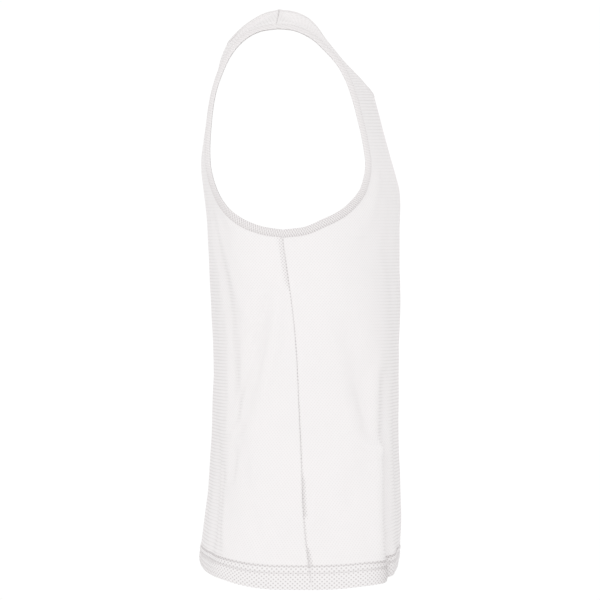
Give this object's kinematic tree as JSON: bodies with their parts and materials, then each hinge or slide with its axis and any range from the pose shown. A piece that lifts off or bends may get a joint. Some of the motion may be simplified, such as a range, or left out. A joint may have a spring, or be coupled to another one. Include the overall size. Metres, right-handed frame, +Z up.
{
  "type": "training bib",
  "caption": "Sleeveless training bib of knitted mesh, filled out as worn, with bound armholes and neck and a turned-up hem.",
  "frame": {"origin": "midway between the two shoulder seams, at the height where the straps lie on the wearer's shoulders", "axes": "+Z up, the front faces -Y, the wearer's right side is at -X"},
  "size_m": [0.4344, 0.2435, 0.6985],
  "materials": {
    "mesh_cloth": "white polyester knitted mesh, matt, with small staggered holes",
    "binding": "white knitted mesh binding, matt, doubled"
  },
  "bodies": {
    "root": {"front_panel": "mesh_cloth", "back_panel": "mesh_cloth", "right_armhole_binding": "binding", "left_armhole_binding": "binding", "neck_binding": "binding"}
  },
  "joints": []
}
